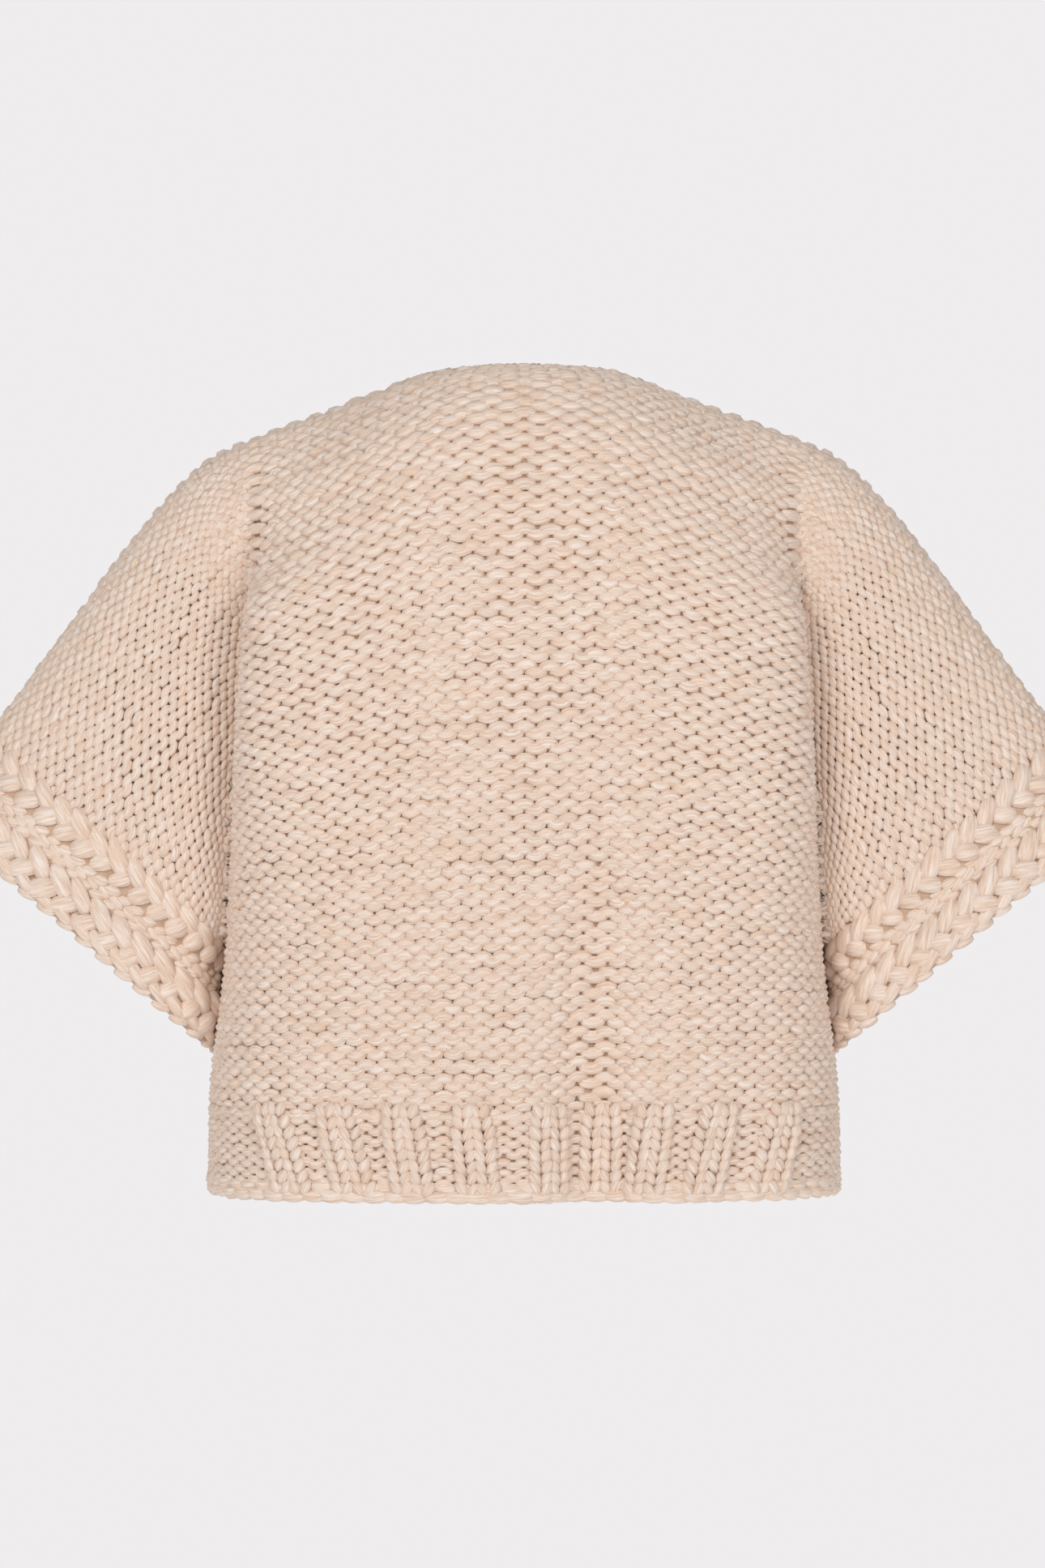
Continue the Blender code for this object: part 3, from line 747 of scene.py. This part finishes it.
class Nodes:
    """A material's node tree, with one call to add a node and link what feeds it."""

    def __init__(self, name):
        self.material = bpy.data.materials.new(name)
        self.material.use_nodes = True
        self.tree = self.material.node_tree
        self.shader = self.tree.nodes["Principled BSDF"]

    def add(self, kind, settings=None, **inputs):
        """A node with its settings and inputs; _0 stands for its first socket, and so on."""
        node = self.tree.nodes.new("ShaderNode" + kind)
        for key, value in (settings or {}).items():
            setattr(node, key, value)
        for key, value in inputs.items():
            self.feed(node.inputs[int(key[1:]) if key[1:].isdigit() else key], value)
        return node.outputs[0]

    def feed(self, socket, value):
        """Links a socket to another, or sets it to a plain value."""
        if isinstance(value, bpy.types.NodeSocket):
            self.tree.links.new(value, socket)
        else:
            socket.default_value = value

    def ramp(self, factor, stops):
        """Colours blended between stops, each a position and a hex colour."""
        node = self.tree.nodes.new("ShaderNodeValToRGB")
        self.tree.links.new(factor, node.inputs[0])
        band = node.color_ramp.elements
        while len(band) < len(stops):
            band.new(0.5)
        for element, (position, code) in zip(band, stops):
            element.position = position
            element.color = hex_colour(code)
        return node.outputs[0]


def yarn_material(name):
    """Loose, unspun merino roving: cream, peach and greyish fibres lie side by side along the
    strand, a little twisted, and nothing on it is glossy."""
    nodes = Nodes(name)
    place = nodes.tree.nodes.new("ShaderNodeUVMap")
    place.uv_map = "strand"
    split = nodes.tree.nodes.new("ShaderNodeSeparateXYZ")
    nodes.tree.links.new(place.outputs[0], split.inputs[0])
    along, around = split.outputs[0], split.outputs[1]
    # once round the strand as an angle, with a full twist every 150 mm
    turns = nodes.add("Math", {"operation": "MULTIPLY_ADD"}, _0=along, _1=6.5, _2=around)
    angle = nodes.add("Math", {"operation": "MULTIPLY"}, _0=turns, _1=2 * np.pi)
    sine = nodes.add("Math", {"operation": "SINE"}, _0=angle)
    cosine = nodes.add("Math", {"operation": "COSINE"}, _0=angle)
    # bundles of fibres about 1 mm wide and 12 mm long
    lengthwise = nodes.add("Math", {"operation": "MULTIPLY"}, _0=along, _1=22.0)
    where = nodes.add("CombineXYZ", _0=cosine, _1=sine, _2=lengthwise)
    fibres = nodes.add("TexNoise", Vector=where, Scale=3.6, Detail=4.0, Roughness=0.65)
    colour = nodes.ramp(fibres, [(0.3, "#D9BBA3"), (0.5, "#EDD7C5"), (0.7, "#F9F0E9")])
    # the dyed roving drifts between peach and greyish cream every 40 mm or so
    drift_place = nodes.add("CombineXYZ", _0=along, _1=0.0, _2=0.0)
    drift = nodes.add("TexNoise", Vector=drift_place, Scale=26.0, Detail=1.0)
    tint = nodes.ramp(drift, [(0.35, "#FDF0E4"), (0.5, "#FFFFFF"), (0.66, "#F3F2F1")])
    multiply = {"data_type": "RGBA", "blend_type": "MULTIPLY"}
    mixed = nodes.add("Mix", multiply, _0=0.35, _6=colour, _7=tint)
    colours = [socket for socket in mixed.node.outputs if socket.type == "RGBA"]
    return finish_yarn(nodes, colours[0], fibres)


def finish_yarn(nodes, colour, height):
    """Matt wool: full roughness, a faint bloom of loose fibres at grazing angles."""
    shader = nodes.shader
    nodes.feed(shader.inputs["Base Color"], colour)
    shader.inputs["Roughness"].default_value = 0.95
    shader.inputs["Sheen Weight"].default_value = 0.25
    shader.inputs["Sheen Roughness"].default_value = 0.6
    shader.inputs["Specular IOR Level"].default_value = 0.15
    # fibre bundles stand half a millimetre proud
    bump = nodes.add("Bump", Height=height, Distance=0.0006, Strength=0.6)
    nodes.feed(shader.inputs["Normal"], bump)
    return nodes.material


def painted_shade_material(name):
    """What shows between the strands: the same wool, browner and darker, as painted shade in the
    gaps.
    """
    nodes = Nodes(name)
    place = nodes.tree.nodes.new("ShaderNodeTexCoord").outputs["Object"]
    # blots about 6 mm across
    blots = nodes.add("TexNoise", Vector=place, Scale=160.0, Detail=3.0)
    # painted shade: browns darker than the yarn's own, for the gaps between strands
    colour = nodes.ramp(blots, [(0.3, "#BC9C82"), (0.7, "#CDB098")])
    return finish_yarn(nodes, colour, blots)


def paper_material(name, code):
    """Seamless studio paper, lit evenly by lamps of its own."""
    nodes = Nodes(name)
    nodes.shader.inputs["Base Color"].default_value = (0.0, 0.0, 0.0, 1.0)
    nodes.shader.inputs["Specular IOR Level"].default_value = 0.0
    nodes.shader.inputs["Emission Color"].default_value = hex_colour(code)
    nodes.shader.inputs["Emission Strength"].default_value = 1.0
    return nodes.material


# ---------------- the pieces


def front_edge(share):
    """From the centre to a front's free edge, in millimetres; share as in the table."""
    return smooth(np.clip(share, 0, 1), FRONT_EDGE)


def edge_stitch(row, hand, part):
    """Stitch of a front's row at which its free edge lies."""
    found = FAMILIES[FRONT, hand][part]
    rows = [at for at, _, _ in found]
    near = slice(0, 200)  # the inner part of a row, where it runs steadily outwards
    edges = [
        np.interp(front_edge(share_of(at)), np.abs(line[near, 0]), count[near])
        for at, line, count in found
    ]
    return np.interp(row, rows, edges)


def end_stitch(row, face, hand, part, end=-1):
    """Stitch at which a row starts (0) or ends (-1)."""
    found = FAMILIES[face, hand][part]
    return np.interp(row, [at for at, _, _ in found], [count[end] for _, _, count in found])


def trunk_grid(face, hand, shares, from_edge=False):
    """Body part of a panel's core, from the centre or the free edge to the side."""
    rows = []
    for share in shares:
        across = np.linspace(0, 1, 300)
        line = body(share, across, face, hand)
        if from_edge:
            near = slice(0, 270)  # the inner part of a row, where it runs steadily outwards
            start = np.interp(front_edge(share), np.abs(line[near, 0]), across[near])
            line = body(share, np.linspace(start, 1, 300), face, hand)
        rows.append(spread(line, np.linspace(0, 1, 30)))
    return np.array(rows)


def panel_core(name, face, hands, material):
    """Core of a knitted panel, body and sleeve halves in one."""
    shares = np.linspace(0, 1, 56)
    shares = np.sort(np.append(shares, UNDERARM_SHARE))
    upper = shares[shares > UNDERARM_SHARE - 1e-6]
    grids = []
    for hand in hands:
        trunk = trunk_grid(face, hand, shares, face == FRONT)
        round_it = round_armhole(upper, face, hand)
        stations = np.linspace(0, 1, 22)
        arm = np.stack([sleeve(round_it, station, face, hand) for station in stations], axis=1)
        arm[:, 0] = trunk[-len(upper) :, -1]
        flip = face * hand != BACK * RIGHT
        grids += [trunk[:, ::-1], arm[:, ::-1]] if flip else [trunk, arm]
    return core(name, grids, material)


def hem_core(name, face, hands, material):
    """Core of a hem rib, the body's own surface carried on down, short of the bound-off edge."""
    heights = np.linspace(RIB_TOP - 0.6, HEM + 3, 8)[::-1]
    grids = []
    for hand in hands:
        grid = trunk_grid(face, hand, (heights - RIB_TOP) / (CREST_SIDE - RIB_TOP), face == FRONT)
        grids.append(grid[:, ::-1] if face * hand != BACK * RIGHT else grid)
    return core(name, grids, material, -4.0, -7.0)


def cuff_core(name, hand, material):
    """Core of a cuff, a tube that stops short of the free edge, which its strands cover."""
    top, edge = cuff_rings(np.linspace(0, 1, 85), hand)
    across = np.linspace(0.01, 0.92, 9)[:, None, None]
    grid = top + across * (edge - top)
    return core(name, [grid[:, ::-1] if hand == LEFT else grid], material, -1.0, -7.0)


def courses(face, hands, part, rows):
    """Courses of a family as (row, first stitch, last stitch), running on a little at seams."""
    found = []
    for row in rows:
        if len(hands) == 2:
            ends = [hand * end_stitch(row, face, hand, part) for hand in hands]
        else:
            hand = hands[0]
            if part != "sleeve" and face == FRONT:
                start = edge_stitch(row, hand, part)
            else:
                start = end_stitch(row, face, hand, part, 0) - RUN_ON["trunk"]
            ends = sorted([hand * start, hand * end_stitch(row, face, hand, part)])
        more = RUN_ON[part]
        ends = [ends[0] - more * (LEFT in hands), ends[1] + more * (RIGHT in hands)]
        if ends[1] - ends[0] > SHORTEST_COURSE:
            found.append((row, *ends))
    return found


def rib_strokes(cloth, ribs, first, last):
    """A rib band's strands: two columns of Vs for each rib, and a bound-off edge below.

    A V's legs start 6 mm out from its column's middle, 4.6 mm above its row, and meet 4 mm
    below it. A rib is narrower at its top, by up to 22 per cent over its first two rows.
    """
    made = []
    for middle, lean in ribs:
        legs = []
        for row in range(RIB_ROWS):
            down = -3.0 + (row + 0.5) * RIB_ROW
            shift = middle + lean * (down / 50 - 0.5)
            narrow = 0.78 + 0.22 * min(row / 2, 1)
            for column in (-0.5, 0.5):
                centre = shift + narrow * RIB_STITCH * column
                for leg in (-1, 1):
                    top = (down - 4.6, centre + leg * 6.0 * narrow)
                    legs.append((top, (down + 4.0, centre + leg * 1.2)))
        legs = np.array(legs)
        made.append(strokes(cloth, legs[:, 0], legs[:, 1], 7.2, 7.0, 3.4, 0.0, 0.2))
    for down, out, offset, length in BIND_OFF:
        number = int((last - first) / BIND_STITCH)
        width = (last - first) / number
        middle = first + (np.arange(number) + 0.5 + offset) * width
        middle = middle[middle < last - 3]
        from_end = np.minimum(middle - first, last - middle)
        rise = CORNER[1] * np.clip(1 - from_end / CORNER[0], 0, 1) ** 1.5
        start = np.stack([down - rise - 0.6, middle - length / 2], axis=-1)
        end = np.stack([down - rise + 0.6, middle + length / 2], axis=-1)
        made.append(strokes(cloth, start, end, 8.8, 8.0, out, 0.8))
    return made


def cuff_strokes(hand):
    """A cuff's strands: two plaits of slanted strands, small bumps between and beyond them."""
    cloth = cuff_map(hand)
    made = []
    number = np.arange(STROKES)

    def on_cuff(down, along):
        """Places on the map, moved up the sleeve by the cuff's creep, most at the underarm."""
        near = np.clip(1 - np.abs(along / STROKES - 0.5) / 0.4, 0, 1)
        creep = CUFF_CREEP[hand] * near * (1 - down / CREEP_END)
        return np.stack([down - creep, along], axis=-1)

    for start, end, run, width, out, shift in PLAITS:
        first = on_cuff(np.full(STROKES, start), number + shift - run / 2)
        last = on_cuff(np.full(STROKES, end), number + shift + run / 2)
        made.append(strokes(cloth, first, last, width, PLAIT_THICK, out))
    for down, count, length, width, out, rise in CUFF_BUMPS:
        middle = (np.arange(int(count)) + 0.5 * (rise > 0)) * STROKES / count
        half = length / 2 * STROKES / CUFF_ROUND
        first = on_cuff(np.full(len(middle), down - rise), middle - half)
        last = on_cuff(np.full(len(middle), down + rise), middle + half)
        made.append(strokes(cloth, first, last, width, BUMP_THICK, out, 1.0))
    return made


def selvedge(cloth, hand, part, rows):
    """A chain of slanted strands along a front's free edge, one for each course."""
    middle = np.array([hand * edge_stitch(row, hand, part) for row in rows])
    first = np.stack([rows - 0.85, middle - 0.1 * hand], axis=-1)
    last = np.stack([rows + 0.85, middle + 0.22 * hand], axis=-1)
    return strokes(cloth, first, last, 8.0, 8.5, 0.8)


# ---------------- making the cardigan

both = (LEFT, RIGHT)
named = ((LEFT, "left"), (RIGHT, "right"))
FAMILIES = {(face, hand): families(face, hand) for face in (BACK, FRONT) for hand in both}

purl_yarn = yarn_material("purl_knit_roving")
rib_yarn = yarn_material("rib_roving")
plait_yarn = yarn_material("plait_roving")
# the cores wear painted shade: a darker brown that shows between the strands
painted_shade = painted_shade_material("painted_shade_roving")

upper_rows = np.arange(0.5, FOLD_ROW + 0.1)
lower_rows = np.arange(FOLD_ROW + 1, BODY_ROWS - 0.1)
sleeve_rows = np.arange(FOLD_ROW + 1, LAST_ROW - 1)

# back
cloth = panel_map(BACK, both, "upper", BACK_ROLL)
# the neck's two rolled courses run a little past the shoulder seams
neck_stitch = NECK_END / STITCH[-1, 1] + 0.6
neck = [(row, -neck_stitch, neck_stitch) for row in (-1.5, -0.5)]
found = neck + courses(BACK, both, "upper", upper_rows)
backs = [knit("back_upper_knit", cloth, found, purl_yarn)]
cloth = panel_map(BACK, both, "trunk")
half = len(lower_rows) // 2
for name, rows in (
    ("back_middle_knit", lower_rows[:half]),
    ("back_lower_knit", lower_rows[half:]),
):
    backs.append(knit(name, cloth, courses(BACK, both, "trunk", rows), purl_yarn))
for hand, side in named:
    cloth = panel_map(BACK, (hand,), "sleeve")
    found = courses(BACK, (hand,), "sleeve", sleeve_rows)
    backs.append(knit(f"back_{side}_sleeve_knit", cloth, found, purl_yarn))
back_core = panel_core("back_core", BACK, both, painted_shade)
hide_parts("back")

# fronts
for hand, side in named:
    knits, trims = [], []
    for part, rows in (("upper", upper_rows), ("trunk", lower_rows)):
        cloth = panel_map(FRONT, (hand,), part, FRONT_ROLL if part == "upper" else 0.0)
        found = courses(FRONT, (hand,), part, rows)
        knits.append(knit(f"front_{side}_{part}_knit", cloth, found, purl_yarn))
        trims.append(selvedge(cloth, hand, part, rows))
    knits.append(strand_object(f"front_{side}_selvedge", trims, purl_yarn))
    cloth = panel_map(FRONT, (hand,), "sleeve")
    found = courses(FRONT, (hand,), "sleeve", sleeve_rows)
    knits.append(knit(f"front_{side}_sleeve_knit", cloth, found, purl_yarn))
    base = panel_core(f"front_{side}_core", FRONT, (hand,), painted_shade)
    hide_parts(f"front_{side}")

# hems
rib_rows = lower_rows[-1] + 0.64 + RIB_GAUGE * np.arange(RIB_ROWS)
middle_share = -0.07  # height halfway down the hem
for face, hands, name in (
    (BACK, both, "hem_back"),
    (FRONT, (LEFT,), "hem_front_left"),
    (FRONT, (RIGHT,), "hem_front_right"),
):
    found = courses(face, hands, "trunk", rib_rows)
    cloth = panel_map(face, hands, "trunk")
    ground = knit(f"{name}_purl", cloth, found, rib_yarn, RIB_GAUGE)
    edges = {hand: body(middle_share, np.linspace(0, 1, 200), face, hand) for hand in hands}
    lengths = [hand * distances(edges[hand])[-1] for hand in hands]
    if face == BACK:
        x = np.concatenate([edges[LEFT][:0:-1, 0], edges[RIGHT][:, 0]])
        along = np.concatenate([-distances(edges[LEFT])[:0:-1], distances(edges[RIGHT])])
        ribs = np.stack([np.interp(BACK_RIBS[:, 0], x, along), BACK_RIBS[:, 1]], axis=-1)
        start, end = lengths
    else:
        ribs = FRONT_RIBS * hands[0]
        start, end = sorted([hands[0] * 25.0, lengths[0]])
    strands = rib_strokes(hem_map(face, hands), ribs, start, end)
    ribbing = strand_object(f"{name}_ribs", strands, rib_yarn)
    base = hem_core(f"{name}_core", face, hands, painted_shade)
    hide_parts(name)

# cuffs
for hand, side in named:
    plait = strand_object(f"cuff_{side}_plaits", cuff_strokes(hand), plait_yarn)
    base = cuff_core(f"cuff_{side}_core", hand, painted_shade)
    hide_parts(f"cuff_{side}")

# ---------------- studio


VIEW_DISTANCE = 3.5  # metres from the lens to the shoulder plane
VIEW_HEIGHT = 0.9675  # metres of that plane that the picture's height takes in
SENSOR = 24.0


def stage_sheet(name, material):
    """A floor that sweeps up into a backdrop, well clear of the cardigan."""
    # the sweep from the side, in metres: how far back and how high
    side = np.array([(-5.0, -1.4), (4.5, -1.4), (5.0, -1.3), (5.35, -1.0), (5.5, -0.5), (5.5, 4.0)])
    grid = np.array([[(x, y, z) for x in (-5.0, 5.0)] for y, z in side])
    number = np.arange(len(side) * 2).reshape(-1, 2)
    quads = np.stack([number[:-1, 0], number[:-1, 1], number[1:, 1], number[1:, 0]], axis=-1)
    mesh = bpy.data.meshes.new(name)
    mesh.from_pydata(grid.reshape(-1, 3).tolist(), [], quads.tolist())
    mesh.materials.append(material)
    mesh.shade_smooth()
    sheet = bpy.data.objects.new(name, mesh)
    bpy.context.scene.collection.objects.link(sheet)


def lamp(name, place, size, power_w):
    """A square softbox, its side in metres, turned to the middle of the cardigan."""
    light = bpy.data.lights.new(name, "AREA")
    light.size = size
    light.energy = power_w
    holder = bpy.data.objects.new(name, light)
    bpy.context.scene.collection.objects.link(holder)
    holder.location = place
    aim = Vector((0, 0, -0.25)) - Vector(place)
    holder.rotation_euler = aim.to_track_quat("-Z", "Y").to_euler()


stage_sheet("backdrop", paper_material("studio_paper", "#EFEDEE"))
lamp("left_softbox", (-1.5, -2.8, 1.15), 1.4, 45)
lamp("right_softbox", (1.8, -2.8, 0.3), 1.3, 30)
lamp("front_fill", (0.7, 3.0, 0.9), 1.6, 34)

world = bpy.data.worlds.new("studio")
bpy.context.scene.world = world
world.use_nodes = True
world.node_tree.nodes["Background"].inputs[0].default_value = (0.95, 0.94, 0.94, 1)
world.node_tree.nodes["Background"].inputs[1].default_value = 0.33

camera = bpy.data.objects.new("camera", bpy.data.cameras.new("camera"))
bpy.context.scene.collection.objects.link(camera)
camera.location = (-0.001, -VIEW_DISTANCE, -0.2488)
camera.rotation_euler = (np.pi / 2, 0, 0)
camera.data.sensor_fit = "VERTICAL"
camera.data.sensor_height = SENSOR
camera.data.lens = SENSOR * VIEW_DISTANCE / VIEW_HEIGHT
bpy.context.scene.camera = camera
bpy.context.scene.view_settings.view_transform = "Standard"
